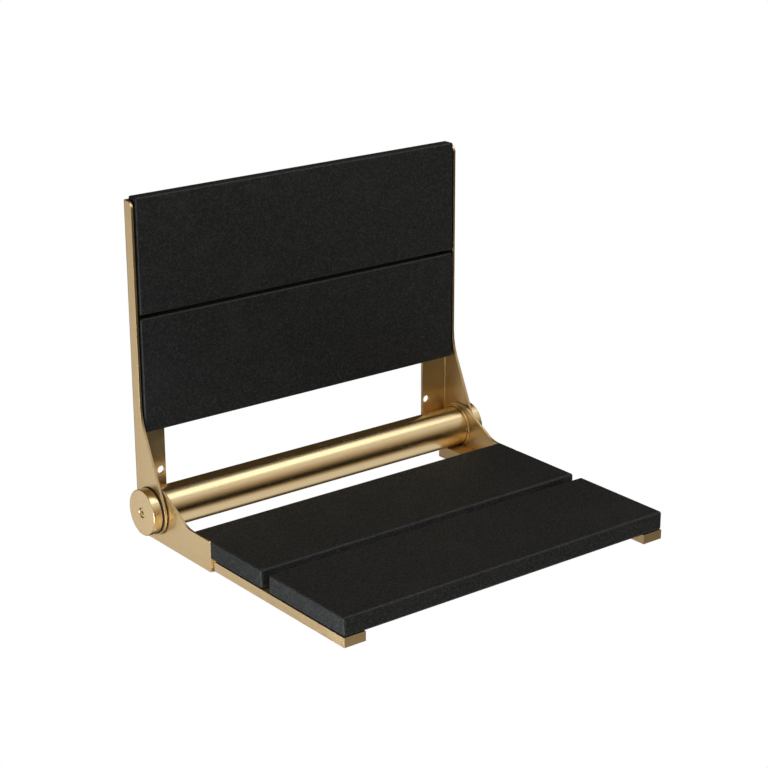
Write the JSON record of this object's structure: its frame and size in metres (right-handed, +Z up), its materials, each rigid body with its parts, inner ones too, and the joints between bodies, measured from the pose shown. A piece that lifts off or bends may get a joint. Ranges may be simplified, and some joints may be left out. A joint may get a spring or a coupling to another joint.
{
  "type": "fold-down shower seat",
  "caption": "Wall-mounted shower seat with a slatted backrest; the slatted seat folds up against it on a horizontal hinge tube held between round end knobs.",
  "frame": {"origin": "on the wall plane, midway between the uprights, at the height of the hinge axis", "axes": "+X to the right seen from the front, +Y into the wall, +Z up; the seat points along -Y"},
  "size_m": [0.4916, 0.4003, 0.4053],
  "materials": {
    "brushed_gold": "satin brushed, gold-coloured coating on steel",
    "black_slat": "matt, fine pebbled grain",
    "black_nylon": "smooth matt",
    "stainless_screw": "plain turned",
    "stainless_turned": "plain turned"
  },
  "bodies": {
    "wall_frame": {"back_slat_lower": "black_slat", "back_slat_screw_left_1": "stainless_screw", "back_slat_screw_left_2": "stainless_screw", "back_slat_screw_left_3": "stainless_screw", "back_slat_screw_left_4": "stainless_screw", "back_slat_screw_right_1": "stainless_screw", "back_slat_screw_right_2": "stainless_screw", "back_slat_screw_right_3": "stainless_screw", "back_slat_screw_right_4": "stainless_screw", "back_slat_upper": "black_slat", "end_knob_left": "brushed_gold", "end_knob_right": "brushed_gold", "knob_screw_left": "brushed_gold", "knob_screw_right": "brushed_gold", "outer_washer_left": "black_nylon", "outer_washer_right": "black_nylon", "pivot_pin_left": "stainless_turned", "pivot_pin_right": "stainless_turned", "upright_left": "brushed_gold", "upright_right": "brushed_gold"},
    "seat": {"hinge_tube": "brushed_gold", "inner_washer_left": "black_nylon", "inner_washer_right": "black_nylon", "pivot_bush_left": "black_nylon", "pivot_bush_right": "black_nylon", "seat_arm_left": "brushed_gold", "seat_arm_right": "brushed_gold", "seat_rail_left": "brushed_gold", "seat_rail_right": "brushed_gold", "seat_slat_front": "black_slat", "seat_slat_rear": "black_slat", "seat_slat_screw_left_1": "stainless_screw", "seat_slat_screw_left_2": "stainless_screw", "seat_slat_screw_left_3": "stainless_screw", "seat_slat_screw_left_4": "stainless_screw", "seat_slat_screw_right_1": "stainless_screw", "seat_slat_screw_right_2": "stainless_screw", "seat_slat_screw_right_3": "stainless_screw", "seat_slat_screw_right_4": "stainless_screw", "tube_collar_left": "brushed_gold", "tube_collar_right": "brushed_gold", "tube_plug_left": "stainless_turned", "tube_plug_right": "stainless_turned"}
  },
  "joints": [
    {"name": "seat_fold", "type": "hinge", "parent": "wall_frame", "child": "seat", "pos_m": [0, -0.033, 0], "axis": [-1, 0, 0], "range_deg": [0, 90]}
  ]
}
